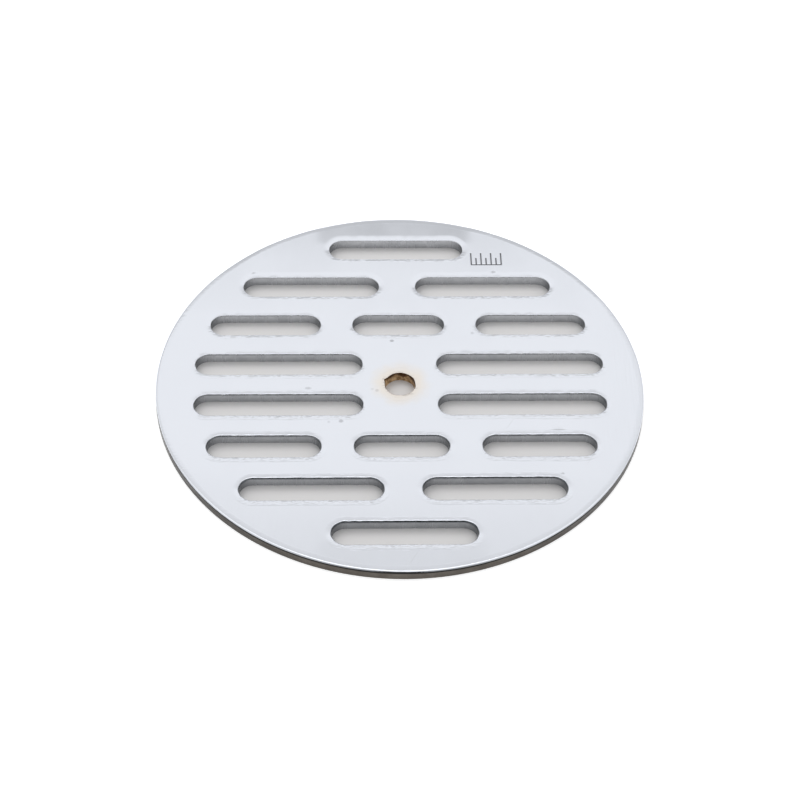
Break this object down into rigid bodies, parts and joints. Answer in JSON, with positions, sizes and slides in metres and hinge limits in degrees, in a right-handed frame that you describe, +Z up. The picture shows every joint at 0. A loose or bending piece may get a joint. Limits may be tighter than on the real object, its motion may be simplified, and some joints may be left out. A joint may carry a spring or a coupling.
{
  "type": "floor drain grate",
  "caption": "Flat round chrome-plated floor drain grate with rows of round-ended slots and a plain centre hole.",
  "frame": {"origin": "centre of the flat underside, on the axis of the centre hole", "axes": "+Z up out of the polished face, along the centre hole; +X along the slots; +Y across the slots, towards the size mark"},
  "size_m": [0.105, 0.105, 0.0023],
  "materials": {
    "chrome_plate": "polished"
  },
  "bodies": {
    "root": {"grate_plate": "chrome_plate"}
  },
  "joints": []
}
